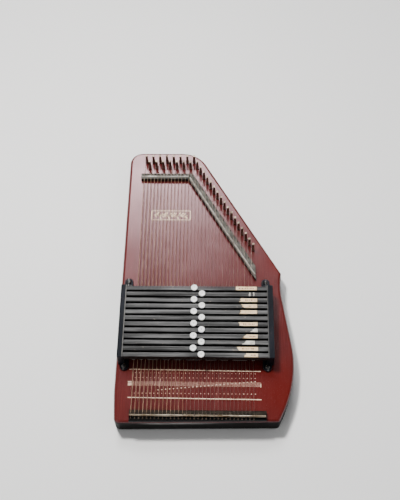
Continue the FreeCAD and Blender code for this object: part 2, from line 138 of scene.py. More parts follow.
def string_radius(k):
    """Radius over the winding, or of the plain wire; strings get thinner from bass to treble."""
    if k < WOUND_COUNT:
        return THICKEST_RADIUS - WOUND_STEP * k
    return PLAIN_RADIUS - PLAIN_STEP * (k - WOUND_COUNT)


def wire_radius(k):
    """Radius of the bare wire: a wound string's core, or the whole of a plain one."""
    return min(string_radius(k), CORE_RADIUS)


def on_diagonal(x):
    """Whether a string at this X meets the slanted arm of the head bridge."""
    return x > HEAD_CORNER_X


def head_line_y(x, straight=0.0, diagonal=0.0):
    """Y at this X on the head bridge's bent line, set back from the rod on each of its arms."""
    if not on_diagonal(x):
        return HEAD_ROD_Y + straight
    along = (x - HEAD_CORNER_X) * math.sin(DIAGONAL_ANGLE)
    return HEAD_ROD_Y + (diagonal - along) / math.cos(DIAGONAL_ANGLE)


def level(x, y, z, radius, angle):
    """Row-frame point on a level circle round a place."""
    return place(x + radius * math.cos(angle), y + radius * math.sin(angle), z)


def upright(x, y, z, radius, angle):
    """Row-frame point on a circle round a place, upright and across the instrument."""
    return place(x + radius * math.cos(angle), y, z + radius * math.sin(angle))


def arc(start, end, steps):
    """Angles from start to end in radians, both ends included."""
    return [start + (end - start) * i / steps for i in range(steps + 1)]


# -------- mesh helpers
# The weld distance is in metres. Edges sharper than SHARP_DEGREES are broken, and faces that meet
# within FLAT_DEGREES are joined first.
WELD_DISTANCE = 2e-6
FLAT_DEGREES = 1
SHARP_DEGREES = 38
INK_THICKNESS = 0.04
INK_LOW = 0.01


def piece(name, bm, finish, body=BODY, smooth_angle=40):
    """A new mesh piece in the row frame, riding on a body."""
    mesh = bpy.data.meshes.new(name)
    bmesh.ops.recalc_face_normals(bm, faces=bm.faces)
    bm.to_mesh(mesh)
    bm.free()
    mesh.materials.append(finish)
    mesh.shade_smooth()
    mesh.set_sharp_from_angle(angle=math.radians(smooth_angle))
    thing = bpy.data.objects.new(name, mesh)
    bpy.context.scene.collection.objects.link(thing)
    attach(thing, body)
    return thing


def tube(bm, points, radius, sides=8):
    """Adds a round tube along the points, its section carried along without twist."""
    last = len(points) - 1
    side = None
    rings = []
    for i, point in enumerate(points):
        along = (points[min(i + 1, last)] - points[max(i - 1, 0)]).normalized()
        if side is None:
            side = along.orthogonal()
        side = (side - along * side.dot(along)).normalized()
        up = along.cross(side)
        ring = []
        for j in range(sides):
            angle = 2 * math.pi * j / sides
            ring.append(bm.verts.new(point + radius * (math.cos(angle) * side + math.sin(angle) * up)))
        rings.append(ring)
    for a, b in zip(rings, rings[1:]):
        for j in range(sides):
            k = (j + 1) % sides
            bm.faces.new((a[j], a[k], b[k], b[j]))
    bm.faces.new(rings[0][::-1])
    bm.faces.new(rings[-1])


def lathe(bm, centre, profile, steps=48):
    """Adds a turned solid: profile holds (radius, height) in millimetres from its top middle down."""
    rings = []
    for radius, height in profile:
        ring = []
        for j in range(steps):
            angle = 2 * math.pi * j / steps
            offset = Vector((radius * math.cos(angle), radius * math.sin(angle), height)) * MM
            ring.append(bm.verts.new(centre + offset))
        rings.append(ring)
    for a, b in zip(rings, rings[1:]):
        for j in range(steps):
            k = (j + 1) % steps
            bm.faces.new((a[j], b[j], b[k], a[k]))
    bm.faces.new(rings[0])
    bm.faces.new(rings[-1][::-1])


def loft(bm, stations):
    """Adds a closed solid through a list of matching rings of points."""
    rings = [[bm.verts.new(point) for point in ring] for ring in stations]
    sides = len(rings[0])
    for a, b in zip(rings, rings[1:]):
        for j in range(sides):
            k = (j + 1) % sides
            bm.faces.new((a[j], a[k], b[k], b[j]))
    bm.faces.new(rings[0][::-1])
    bm.faces.new(rings[-1])


def rounded_section(half_width, bottom, top, low_radius, high_radius, steps=4):
    """The (y, z) outline of a bar's section with rounded corners, in millimetres."""
    corners = [
        (half_width - high_radius, top - high_radius, high_radius, 0.0),
        (-half_width + high_radius, top - high_radius, high_radius, 0.5 * math.pi),
        (-half_width + low_radius, bottom + low_radius, low_radius, math.pi),
        (half_width - low_radius, bottom + low_radius, low_radius, 1.5 * math.pi),
    ]
    outline = []
    for y, z, radius, start in corners:
        for angle in arc(start, start + 0.5 * math.pi, steps):
            outline.append((y + radius * math.cos(angle), z + radius * math.sin(angle)))
    return outline


def ribbon(bm, points, widths):
    """Adds a strip of ink that follows (x, y) points, with a width at each, on the soundboard."""
    last = len(points) - 1
    stations = []
    for i, (x, y) in enumerate(points):
        ahead = Vector(points[min(i + 1, last)])
        behind = Vector(points[max(i - 1, 0)])
        along = (ahead - behind).normalized()
        half = widths[i] / 2
        dx, dy = -along.y * half, along.x * half
        stations.append([
            place(x + dx, y + dy, INK_LOW), place(x - dx, y - dy, INK_LOW),
            place(x - dx, y - dy, INK_LOW + INK_THICKNESS), place(x + dx, y + dy, INK_LOW + INK_THICKNESS),
        ])
    loft(bm, stations)


def soften(thing, width, keep_sharp=False):
    """Breaks the sharp edges of a piece or a CAD node."""
    flat = thing.modifiers.new("flat", "DECIMATE")
    flat.decimate_type = "DISSOLVE"
    flat.angle_limit = math.radians(FLAT_DEGREES)
    edge = thing.modifiers.new("edge", "BEVEL")
    edge.width = width * MM
    edge.segments = 3
    edge.limit_method = "ANGLE"
    edge.angle_limit = math.radians(SHARP_DEGREES)
    even = thing.modifiers.new("even", "WEIGHTED_NORMAL")
    even.keep_sharp = keep_sharp


def dress(node, finish, bevel=0.0):
    """Gives a CAD node its finish, and breaks its sharp edges if a bevel width is given."""
    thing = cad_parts[node]
    thing.data.materials.clear()
    thing.data.materials.append(finish)
    if bevel:
        weld = thing.modifiers.new("weld", "WELD")
        weld.merge_threshold = WELD_DISTANCE
        soften(thing, bevel, keep_sharp=True)


# -------- finishes
# Places where a finish changes, in millimetres: spots of deeper red with their reach, the painted
# highlight band on the tail, the holders' inner edges with how worn each is, and where the tail rod's
# tarnish and the tail bridge's darker dust end and the head bridge's painted sheen begins.
DEEP_RED_SPOTS = (((128, 50, 0), 85), ((133, 292, 0), 34))
TAIL_HIGHLIGHT_Z = (-13, -4)
TAIL_HIGHLIGHT_Y = (0, -2)
TAIL_HIGHLIGHT_ENDS = ((-105, -60), (20, 95))
HOLDER_EDGES = ((-124.0, 0.9), (115.0, 0.45))
TAIL_FADE_Y = (40, 90)
DUST_Z = (5.5, 7)
RANGE_SOCKETS = ("From Min", "From Max", "To Min", "To Max")


class Finish:
    """One node material: a Principled shader, and helpers for the textures that feed it."""

    def __init__(self, name, **sockets):
        self.material = bpy.data.materials.new(name)
        self.material.use_nodes = True
        self.tree = self.material.node_tree
        self.shader = self.tree.nodes["Principled BSDF"]
        for socket, value in sockets.items():
            self.shader.inputs[socket.replace("_", " ")].default_value = value
        self.coordinates = self.tree.nodes.new("ShaderNodeTexCoord").outputs["Object"]

    def link(self, output, node, socket):
        self.tree.links.new(output, node.inputs[socket])

    def feed(self, output, socket):
        self.link(output, self.shader, socket)

    def stretched(self, stretch, offset=(0, 0, 0)):
        """The piece's own coordinates, with each axis scaled."""
        mapping = self.tree.nodes.new("ShaderNodeMapping")
        mapping.inputs["Scale"].default_value = stretch
        mapping.inputs["Location"].default_value = offset
        self.link(self.coordinates, mapping, "Vector")
        return mapping.outputs["Vector"]

    def noise(self, scale, detail=3.0, stretch=(1, 1, 1), offset=(0, 0, 0), rough=0.55):
        """Cloudy texture; scale is in cycles a metre."""
        node = self.tree.nodes.new("ShaderNodeTexNoise")
        node.inputs["Scale"].default_value = scale
        node.inputs["Detail"].default_value = detail
        node.inputs["Roughness"].default_value = rough
        self.link(self.stretched(stretch, offset), node, "Vector")
        return node.outputs["Fac"]

    def scratches(self, scale, stretch, offset=(0, 0, 0)):
        """Thin lines where a stretched cell pattern has its edges."""
        node = self.tree.nodes.new("ShaderNodeTexVoronoi")
        node.feature = "DISTANCE_TO_EDGE"
        node.inputs["Scale"].default_value = scale
        self.link(self.stretched(stretch, offset), node, "Vector")
        return self.span(node.outputs["Distance"], 0.0, 0.02, 1.0, 0.0)

    def axis(self, name):
        node = self.tree.nodes.new("ShaderNodeSeparateXYZ")
        self.link(self.coordinates, node, "Vector")
        return node.outputs[name]

    def facing(self, name):
        """One axis of the surface's direction."""
        normal = self.tree.nodes.new("ShaderNodeNewGeometry").outputs["Normal"]
        node = self.tree.nodes.new("ShaderNodeSeparateXYZ")
        self.link(normal, node, "Vector")
        return node.outputs[name]

    def span(self, value, from_low, from_high, to_low=0.0, to_high=1.0):
        """A value carried from one range to another, and held at the ends."""
        node = self.tree.nodes.new("ShaderNodeMapRange")
        node.interpolation_type = "SMOOTHSTEP"
        for socket, number in zip(RANGE_SOCKETS, (from_low, from_high, to_low, to_high)):
            node.inputs[socket].default_value = number
        self.link(value, node, "Value")
        return node.outputs["Result"]

    def combine(self, operation, a, b):
        """Two values, or a value and a number, put through a math operation."""
        node = self.tree.nodes.new("ShaderNodeMath")
        node.operation = operation
        for index, value in enumerate((a, b)):
            if isinstance(value, (int, float)):
                node.inputs[index].default_value = value
            else:
                self.link(value, node, index)
        return node.outputs["Value"]

    def times(self, a, b):
        return self.combine("MULTIPLY", a, b)

    def mix(self, amount, a, b):
        """Colour a where amount is 0 and colour b where it is 1."""
        node = self.tree.nodes.new("ShaderNodeMix")
        node.data_type = "RGBA"
        for index, value in ((0, amount), (6, a), (7, b)):
            if isinstance(value, (int, float)):
                node.inputs[index].default_value = value
            elif isinstance(value, tuple):
                node.inputs[index].default_value = (*value, 1.0)
            else:
                self.link(value, node, index)
        return node.outputs[2]

    def blob(self, centre, radius):
        """1 at a place on the instrument, falling to 0 at the radius, in millimetres."""
        node = self.tree.nodes.new("ShaderNodeVectorMath")
        node.operation = "DISTANCE"
        node.inputs[1].default_value = place(*centre)
        self.link(self.coordinates, node, 0)
        return self.span(node.outputs["Value"], 0.0, radius * MM, 1.0, 0.0)

    def bump(self, height, depth, strength=1.0):
        """Relief of this depth in millimetres."""
        node = self.tree.nodes.new("ShaderNodeBump")
        node.inputs["Distance"].default_value = depth * MM
        node.inputs["Strength"].default_value = strength
        self.link(height, node, "Height")
        self.feed(node.outputs["Normal"], "Normal")


def maroon_lacquer():
    """Deep red lacquer over fine straight grain, with painted shade on its rounded edges."""
    f = Finish("maroon_lacquer", Specular_IOR_Level=0.95)
    f.shader.inputs["Specular Tint"].default_value = (1.0, 0.74, 0.78, 1.0)
    grain = f.noise(18, 4, (60, 1.1, 60))
    cloud = f.noise(9, 3, (1, 0.6, 1), (3, 1, 0))
    colour = f.mix(f.span(grain, 0.35, 0.7), (0.072, 0.0085, 0.0080), (0.110, 0.0155, 0.0140))
    colour = f.mix(f.span(cloud, 0.45, 0.75, 0.0, 0.4), colour, (0.125, 0.030, 0.028))
    # Deeper, more saturated red in two spots near the right edge, one towards the tail and one higher up.
    spotted = f.combine("MAXIMUM", *(f.blob(spot, reach) for spot, reach in DEEP_RED_SPOTS))
    colour = f.mix(f.times(spotted, 0.8), colour, (0.105, 0.0055, 0.0030))
    dust = f.span(f.noise(900, 2, (1, 1, 1), (0, 5, 0)), 0.62, 0.8, 0.0, 0.4)
    colour = f.mix(dust, colour, (0.20, 0.12, 0.11))
    marks = f.times(f.scratches(7, (1, 0.22, 1), (4, 0, 0)), f.noise(30, 2))
    colour = f.mix(f.times(marks, 0.3), colour, (0.22, 0.09, 0.08))
    # Painted shade: the red darkens where the rounded edge turns down from the top.
    painted_edge_shade = f.span(f.facing("Z"), 0.55, 0.9, 1.0, 0.0)
    colour = f.mix(f.times(painted_edge_shade, 0.7), colour, (0.055, 0.006, 0.006))
    f.feed(colour, "Base Color")
    smudge = f.noise(14, 4, (1, 1, 1), (0, 0, 7))
    f.feed(f.combine("ADD", f.span(smudge, 0.3, 0.75, 0.15, 0.22), f.times(dust, 0.3)), "Roughness")
    f.bump(f.combine("ADD", grain, f.times(marks, -0.6)), 0.02, 0.5)
    return f.material


def black_lacquer():
    """Black lacquer, with a grey highlight painted along the tail's upper edge, fading towards the treble
    end.
    """
    f = Finish("black_lacquer", Specular_IOR_Level=0.03)
    cloud = f.noise(22, 4, (1, 1, 2))
    colour = f.mix(f.span(cloud, 0.45, 0.75, 0.0, 0.7), (0.0035, 0.0035, 0.0035), (0.010, 0.009, 0.008))
    marks = f.times(f.scratches(12, (0.5, 0.5, 2.2)), f.noise(40, 2))
    colour = f.mix(f.times(marks, 0.4), colour, (0.05, 0.045, 0.04))
    x, y, z = (f.axis(name) for name in "XYZ")
    # Painted highlight: a grey band along the upper part of the tail face, standing in for the reflection
    # on its glossy edge.
    low, high = (place(0, *corner) for corner in zip(TAIL_HIGHLIGHT_Y, TAIL_HIGHLIGHT_Z))
    (rise_start, rise_end), (fall_start, fall_end) = TAIL_HIGHLIGHT_ENDS
    painted_highlight = f.times(f.span(z, low.z, high.z), f.span(y, high.y, low.y, 1.0, 0.0))
    painted_highlight = f.times(painted_highlight, f.span(x, place(rise_start, 0).x, place(rise_end, 0).x))
    painted_highlight = f.times(painted_highlight, f.span(x, place(fall_start, 0).x, place(fall_end, 0).x, 1.0, 0.12))
    painted_highlight = f.times(painted_highlight, f.span(f.noise(60, 3, (0.4, 1, 3)), 0.3, 0.6, 0.55, 1.0))
    f.feed(f.mix(painted_highlight, colour, (0.21, 0.205, 0.20)), "Base Color")
    f.feed(f.span(cloud, 0.3, 0.75, 0.4, 0.55), "Roughness")
    f.bump(f.noise(160, 2), 0.02, 0.35)
    return f.material


def dusty_black():
    """Black paint under a film of dust, as on the bridges; the film is lightened towards the head as a
    painted sheen.
    """
    f = Finish("dusty_black", Specular_IOR_Level=0.1)
    near_top = f.span(f.axis("Z"), *(place(0, 0, z).z for z in DUST_Z))
    upward = f.times(f.span(f.facing("Z"), 0.5, 0.98), near_top)
    # Painted sheen: on the head bridge the dust film is lightened to stand in for the bright reflection
    # there; at the tail it stays dark dust.
    painted_head_sheen = f.span(f.axis("Y"), *(place(0, y).y for y in TAIL_FADE_Y))
    dust = f.times(upward, f.span(f.noise(70, 4, (1, 2, 1)), 0.3, 0.7, 0.35, 1.0))
    dust_and_head_sheen = f.mix(painted_head_sheen, (0.034, 0.027, 0.020), (0.15, 0.142, 0.125))
    f.feed(f.mix(dust, (0.003, 0.003, 0.003), dust_and_head_sheen), "Base Color")
    f.feed(f.span(dust, 0.0, 1.0, 0.4, 0.9), "Roughness")
    f.bump(f.noise(400, 3), 0.04, 0.6)
    return f.material


def wood(name, light, dark, rough):
    """Bare wood with grain along the body."""
    f = Finish(name, Specular_IOR_Level=0.05)
    grain = f.noise(30, 5, (30, 1, 30))
    pores = f.noise(500, 2, (1, 0.05, 1))
    f.feed(f.mix(f.span(grain, 0.3, 0.7), light, dark), "Base Color")
    f.feed(f.span(pores, 0.3, 0.7, rough - 0.1, rough + 0.1), "Roughness")
    f.bump(f.combine("ADD", grain, pores), 0.05, 0.6)
    return f.material


def metal(name, light, dark, rough, tarnish_scale=120.0, tarnish=0.6):
    """Metal that has tarnished in patches."""
    f = Finish(name, Metallic=1.0)
    patches = f.noise(tarnish_scale, 4)
    amount = f.span(patches, 0.35, 0.7, 0.0, tarnish)
    f.feed(f.mix(amount, light, dark), "Base Color")
    f.feed(f.span(patches, 0.3, 0.75, rough, rough + 0.22), "Roughness")
    f.bump(f.noise(1500, 2), 0.02, 0.5)
    return f.material


def rod_steel():
    """Bright steel, gone golden with tarnish on the rod at the tail."""
    f = Finish("steel_rod", Metallic=1.0)
    patches = f.noise(160, 4, (0.4, 1, 1))
    grey = f.mix(f.span(patches, 0.35, 0.7), (0.86, 0.83, 0.76), (0.52, 0.48, 0.41))
    golden = f.mix(f.span(patches, 0.35, 0.7), (0.62, 0.53, 0.41), (0.26, 0.18, 0.11))
    at_tail = f.span(f.axis("Y"), *(place(0, y).y for y in TAIL_FADE_Y), 1.0, 0.0)
    f.feed(f.mix(at_tail, grey, golden), "Base Color")
    f.feed(f.span(patches, 0.3, 0.75, 0.3, 0.5), "Roughness")
    f.bump(f.noise(1500, 2), 0.02, 0.5)
    return f.material


def winding():
    """Close copper winding, as ridges across the string."""
    f = Finish("copper_winding", Metallic=1.0)
    patches = f.noise(60, 4)
    f.feed(f.mix(f.span(patches, 0.35, 0.7), (0.74, 0.55, 0.38), (0.50, 0.34, 0.23)), "Base Color")
    f.feed(f.span(patches, 0.3, 0.7, 0.36, 0.55), "Roughness")
    wave = f.tree.nodes.new("ShaderNodeTexWave")
    wave.bands_direction = "Y"
    wave.inputs["Scale"].default_value = 420.0
    f.link(f.coordinates, wave, "Vector")
    f.bump(wave.outputs["Fac"], 0.12, 0.8)
    return f.material


def enamel():
    """Blue-black enamel on folded metal, chipped to grey where it is handled."""
    f = Finish("black_enamel", Specular_IOR_Level=0.14)
    chips = f.noise(140, 5, (1, 0.5, 1))
    rubbed = f.span(f.noise(26, 3, (1, 0.4, 1), (1, 2, 3)), 0.4, 0.75)
    colour = f.mix(rubbed, (0.006, 0.007, 0.010), (0.017, 0.018, 0.025))
    spotted = f.times(f.span(chips, 0.60, 0.68), f.span(rubbed, 0.1, 0.8))
    colour = f.mix(spotted, colour, (0.20, 0.17, 0.14))
    x = f.axis("X")
    upward = f.span(f.facing("Z"), 0.2, 0.6)
    for inner_x, share in HOLDER_EDGES:
        away = f.combine("ABSOLUTE", f.combine("SUBTRACT", x, place(inner_x, 0).x), 0.0)
        edge = f.span(away, 0.5 * MM, 1.3 * MM, share, 0.0)
        edge = f.times(f.times(edge, upward), f.span(chips, 0.3, 0.6, 0.5, 1.0))
        colour = f.mix(edge, colour, (0.19, 0.185, 0.175))
    f.feed(colour, "Base Color")
    f.feed(f.span(chips, 0.3, 0.7, 0.34, 0.52), "Roughness")
    f.bump(f.combine("SUBTRACT", f.noise(600, 2), f.times(spotted, 1.5)), 0.04, 0.5)
    return f.material


def bar_black():
    """Black paint on wood, rubbed grey along the top by hands."""
    f = Finish("bar_black", Specular_IOR_Level=0.35)
    upward = f.span(f.facing("Z"), 0.55, 0.97)
    streaks = f.noise(70, 6, (0.10, 6, 1), (0, 2, 0), 0.65)
    patches = f.noise(26, 3, (0.45, 3, 1), (7, 0, 1))
    rub = f.times(upward, f.span(streaks, 0.34, 0.66, 0.08, 1.0))
    rub = f.times(rub, f.span(patches, 0.3, 0.65, 0.35, 1.0))
    colour = f.mix(rub, (0.003, 0.003, 0.003), (0.165, 0.165, 0.168))
    chips = f.times(upward, f.span(f.noise(240, 4, (0.5, 1, 1)), 0.66, 0.72))
    colour = f.mix(f.times(chips, 0.6), colour, (0.24, 0.21, 0.18))
    f.feed(colour, "Base Color")
    f.feed(f.span(streaks, 0.25, 0.75, 0.42, 0.62), "Roughness")
    f.bump(f.combine("ADD", streaks, f.noise(900, 2)), 0.05, 0.5)
    return f.material


def button_plastic():
    """White moulded plastic, a little grey in patches."""
    f = Finish("button_white", Specular_IOR_Level=0.5, Coat_Weight=0.2, Subsurface_Weight=0.15)
    f.shader.inputs["Subsurface Radius"].default_value = (0.001, 0.001, 0.0008)
    grime = f.noise(180, 4)
    f.feed(f.mix(f.span(grime, 0.5, 0.8, 0.0, 0.5), (0.98, 0.98, 0.97), (0.88, 0.87, 0.85)), "Base Color")
    f.feed(f.span(grime, 0.3, 0.7, 0.25, 0.38), "Roughness")
    f.bump(f.noise(700, 2), 0.015, 0.4)
    return f.material


def felt():
    """Pressed grey felt with fine fibres."""
    f = Finish("grey_felt", Specular_IOR_Level=0.15, Sheen_Weight=0.5, Sheen_Roughness=0.6)
    fibres = f.noise(2200, 5, (1, 1, 0.5))
    f.feed(f.mix(f.span(fibres, 0.3, 0.7), (0.05, 0.046, 0.042), (0.10, 0.094, 0.086)), "Base Color")
    f.feed(f.span(fibres, 0.3, 0.7, 0.85, 1.0), "Roughness")
    f.bump(fibres, 0.3, 0.9)
    return f.material


def paper(name, clean, stained):
    """Aged paper, or ink on paper, stained in patches."""
    f = Finish(name, Specular_IOR_Level=0.25)
    stains = f.noise(120, 4, (1, 2, 1))
    fibres = f.noise(3000, 3)
    f.feed(f.mix(f.span(stains, 0.35, 0.75), clean, stained), "Base Color")
    f.feed(f.span(fibres, 0.3, 0.7, 0.6, 0.8), "Roughness")
    f.bump(f.combine("ADD", fibres, stains), 0.04, 0.6)
    return f.material


def transfer(name, bright, rubbed, threshold):
    """Gold transfer ink, rubbed thin in places."""
    f = Finish(name, Specular_IOR_Level=0.5)
    wear = f.noise(380, 4)
    f.feed(f.mix(f.span(wear, threshold, threshold + 0.2), bright, rubbed), "Base Color")
    f.feed(f.span(wear, 0.3, 0.7, 0.38, 0.6), "Roughness")
    f.bump(wear, 0.02, 0.4)
    return f.material


def rubber():
    """Matt black rubber with a gritty skin."""
    f = Finish("black_rubber", Specular_IOR_Level=0.3)
    grit = f.noise(900, 3)
    f.feed(f.mix(f.span(grit, 0.4, 0.75), (0.016, 0.016, 0.016), (0.05, 0.047, 0.044)), "Base Color")
    f.feed(f.span(grit, 0.3, 0.7, 0.65, 0.9), "Roughness")
    f.bump(grit, 0.06, 0.8)
    return f.material


LACQUER = maroon_lacquer()
BLACK = black_lacquer()
DUSTY = dusty_black()
SPRUCE = wood("bare_spruce", (0.55, 0.40, 0.24), (0.42, 0.28, 0.15), 0.6)
STRIP_WOOD = wood("guide_strip_wood", (0.13, 0.088, 0.058), (0.05, 0.034, 0.023), 0.85)
RUBBER = rubber()
ROD_STEEL = rod_steel()
SMALL_PIN_STEEL = metal("steel_small_pins", (0.16, 0.12, 0.09), (0.05, 0.035, 0.025), 0.4, 300.0)
TUNING_STEEL = metal("wrest_pin_steel", (0.42, 0.34, 0.26), (0.10, 0.07, 0.048), 0.34, 260.0, 0.9)
SCREW_STEEL = metal("blued_steel", (0.22, 0.21, 0.20), (0.05, 0.05, 0.055), 0.24, 300.0, 0.8)
SPRING_STEEL = metal("spring_steel", (0.55, 0.54, 0.52), (0.33, 0.31, 0.28), 0.25)
COPPER = winding()
WIRE = metal("plain_steel_wire", (0.60, 0.49, 0.42), (0.36, 0.26, 0.20), 0.3, 90.0)
ENAMEL = enamel()
BAR_PAINT = bar_black()
BUTTON = button_plastic()
FELT = felt()
CREAM_PAPER = paper("label_paper", (0.92, 0.72, 0.47), (0.82, 0.56, 0.31))
WHITE_PAPER = paper("label_paper_pale", (0.72, 0.70, 0.64), (0.42, 0.39, 0.34))
PRINT_INK = paper("print_ink", (0.14, 0.05, 0.03), (0.25, 0.12, 0.07))
NUMERAL_INK = paper("numeral_ink", (0.22, 0.22, 0.22), (0.34, 0.33, 0.32))
GOLD = transfer("gold_decal", (0.95, 0.74, 0.54), (0.74, 0.47, 0.33), 0.55)
FAINT_GOLD = transfer("faint_gold_decal", (0.72, 0.47, 0.36), (0.36, 0.14, 0.11), 0.5)


# -------- sound box and bridges
def make_sound_box():
    for node, finish in (("soundboard", LACQUER), ("back_board", BLACK), ("pin_block", BLACK),
                         ("side_rails", BLACK), ("tail_block", BLACK)):
        dress(node, finish)
    dress("braces", SPRUCE, 0.5)
    dress("feet", RUBBER, 0.3)
    dress("bridge_rods", ROD_STEEL, 0.2)
    dress("string_pins", SMALL_PIN_STEEL, 0.15)
    dress("tail_bridge", DUSTY, 0.3)
    dress("bar_holders", ENAMEL, 0.35)
    dress("holder_screws", SCREW_STEEL, 0.12)
    for k in range(STRING_COUNT):
        dress(f"tuning_pin_{k + 1:02d}", TUNING_STEEL, 0.3)


def islands(node):
    """The node's separate solids, each as a mesh of its own, in the same order on every run."""
    whole = bmesh.new()
    whole.from_mesh(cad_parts[node].data)
    bmesh.ops.remove_doubles(whole, verts=whole.verts, dist=WELD_DISTANCE)
    whole.faces.index_update()
    left = dict.fromkeys(whole.verts)
    found = []
    while left:
        first, _ = left.popitem()
        reached = [first]
        for here in reached:
            for link in here.link_edges:
                other = link.other_vert(here)
                if other in left:
                    del left[other]
                    reached.append(other)
        part = bmesh.new()
        copies = {v: part.verts.new(v.co) for v in reached}
        faces = {face for v in reached for face in v.link_faces}
        for face in sorted(faces, key=lambda each: each.index):
            part.faces.new([copies[v] for v in face.verts])
        found.append(part)
    whole.free()
    return found


def make_head_bridge():
    """The black bridge bars, and the tan strips behind them that hold the guide pins."""
    names = {"bar": 0, "strip": 0}
    for part in sorted(islands("head_bridge"), key=lambda each: min(v.co.x for v in each.verts)):
        top = max(drawn(v.co)[2] for v in part.verts)
        kind = "strip" if top < STRIP_TOP + 0.1 else "bar"
        names[kind] += 1
        finish = STRIP_WOOD if kind == "strip" else DUSTY
        thing = piece(f"head_bridge_{kind}_{names[kind]}", part, finish)
        soften(thing, 0.25)
        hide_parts("head_bridge")


# -------- strings
COIL_BELOW_EYE = 0.9
COIL_LEAST_TURNS = 1.2
COIL_STEPS = 18
LOOP_ARC = (0.1 * math.pi, -1.1 * math.pi)
TWIST_TURNS = 2.5
TWIST_STEPS = 24
STRAND_SHARE = 0.9
WINDING_TAPER = 1.2
WINDING_LEAST = 0.05
WINDING_SIDES = 10
TIP_LENGTH = 0.6
TIP_KINK = 0.25
TIP_BEND = 0.7


def leave_angle(centre, reach, stretch, target, turn):
    """Angle on a rod's section where a straight run to the target leaves it."""
    dy = (target[0] - centre[0]) / stretch
    dz = target[1] - centre[1]
    angle = math.atan2(dz, dy) + turn * math.acos(reach / math.hypot(dy, dz))
    return angle % (2 * math.pi)


def rod_points(x, centre, reach, stretch, angles):
    """Points over a rod's section, which a slanted rod shows stretched along the strings."""
    points = []
    for angle in angles:
        y = centre[0] + stretch * reach * math.cos(angle)
        points.append(place(x, y, centre[1] + reach * math.sin(angle)))
    return points


def string_route(k):
    """The string's line from the tail rod over the head rod to its coil, and round the pin."""
    x = string_x(k)
    r = wire_radius(k)
    reach = ROD_RADIUS + r + TOUCH_GAP
    pin_x, pin_y, _ = PIN_PLACES[k]
    coil_radius = PIN_RADIUS + r + TOUCH_GAP
    tail = (TAIL_ROD_Y, ROD_Z)
    head = (head_line_y(x), ROD_Z)
    stretch = 1 / math.cos(DIAGONAL_ANGLE) if on_diagonal(x) else 1.0
    top = math.pi / 2
    start = leave_angle(tail, reach, 1.0, THROAT, -1)
    end = leave_angle(head, reach, stretch, (pin_y, COIL_ENTRY_Z), 1)
    points = rod_points(x, tail, reach, 1.0, arc(start, top, 6))
    points += rod_points(x, head, reach, stretch, arc(top, end, 4))
    last = drawn(points[-1])
    guide_y = head_line_y(x, *GUIDE_SETBACK)
    part_way = (guide_y - last[1]) / (pin_y - last[1])
    points.append(place(x, guide_y, last[2] + part_way * (COIL_ENTRY_Z - last[2])))
    coil_top = PIN_EYE_Z - COIL_BELOW_EYE - r
    turns = max(COIL_LEAST_TURNS, (coil_top - COIL_ENTRY_Z) / (2 * r))
    steps = round(COIL_STEPS * turns)
    for i in range(steps + 1):
        angle = math.pi - 2 * math.pi * turns * i / steps
        z = COIL_ENTRY_Z + (coil_top - COIL_ENTRY_Z) * i / steps
        points.append(level(pin_x, pin_y, z, coil_radius, angle))
    return points


def hitch_loop(bm, k, tangent_point):
    """The loop round the hitch pin, and the two wires twisted together up to the rod."""
    x = string_x(k)
    wire = wire_radius(k)
    loop_radius = HITCH_PIN_RADIUS + wire + TOUCH_GAP
    throat = place(x, *THROAT)
    loop = [throat]
    for angle in arc(*LOOP_ARC, 14):
        loop.append(level(x, HITCH_PIN_Y, HITCH_LOOP_Z, loop_radius, angle))
    loop.append(throat)
    tube(bm, loop, wire * MM, 6)
    along = tangent_point - throat
    across = Vector((1, 0, 0))
    other = along.normalized().cross(across)
    for phase in (0, math.pi):
        strand = []
        for i in range(TWIST_STEPS + 1):
            share = i / TWIST_STEPS
            angle = phase + 2 * math.pi * TWIST_TURNS * share
            offset = across * math.cos(angle) + other * math.sin(angle)
            strand.append(throat + along * share + offset * wire * MM * STRAND_SHARE)
        tube(bm, strand, wire * MM * STRAND_SHARE, 6)


def make_strings():
    for k in range(STRING_COUNT):
        wound = k < WOUND_COUNT
        route = string_route(k)
        bm = bmesh.new()
        tube(bm, route, wire_radius(k) * MM)
        thing = piece(f"string_{k + 1:02d}", bm, WIRE, smooth_angle=60)
        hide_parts("wound_strings" if wound else "plain_strings")
        if wound:
            make_winding(k)
        bm = bmesh.new()
        hitch_loop(bm, k, route[0])
        piece(f"string_loop_{k + 1:02d}", bm, SMALL_PIN_STEEL, smooth_angle=60)
        make_string_tip(k)


def make_winding(k):
    """The copper winding of a bass string, tapered at both ends, from near one rod to near the other."""
    x = string_x(k)
    z = ROD_Z + ROD_RADIUS + wire_radius(k) + TOUCH_GAP
    start = TAIL_ROD_Y + WINDING_INSET[0]
    end = head_line_y(x) - WINDING_INSET[1]
    bm = bmesh.new()
    thin, thick = wire_radius(k) + WINDING_LEAST, string_radius(k)
    angles = [2 * math.pi * j / WINDING_SIDES for j in range(WINDING_SIDES)]
    outline = ((start, thin), (start + WINDING_TAPER, thick), (end - WINDING_TAPER, thick), (end, thin))
    loft(bm, [[upright(x, y, z, radius, angle) for angle in angles] for y, radius in outline])
    piece(f"winding_{k + 1:02d}", bm, COPPER, smooth_angle=60)


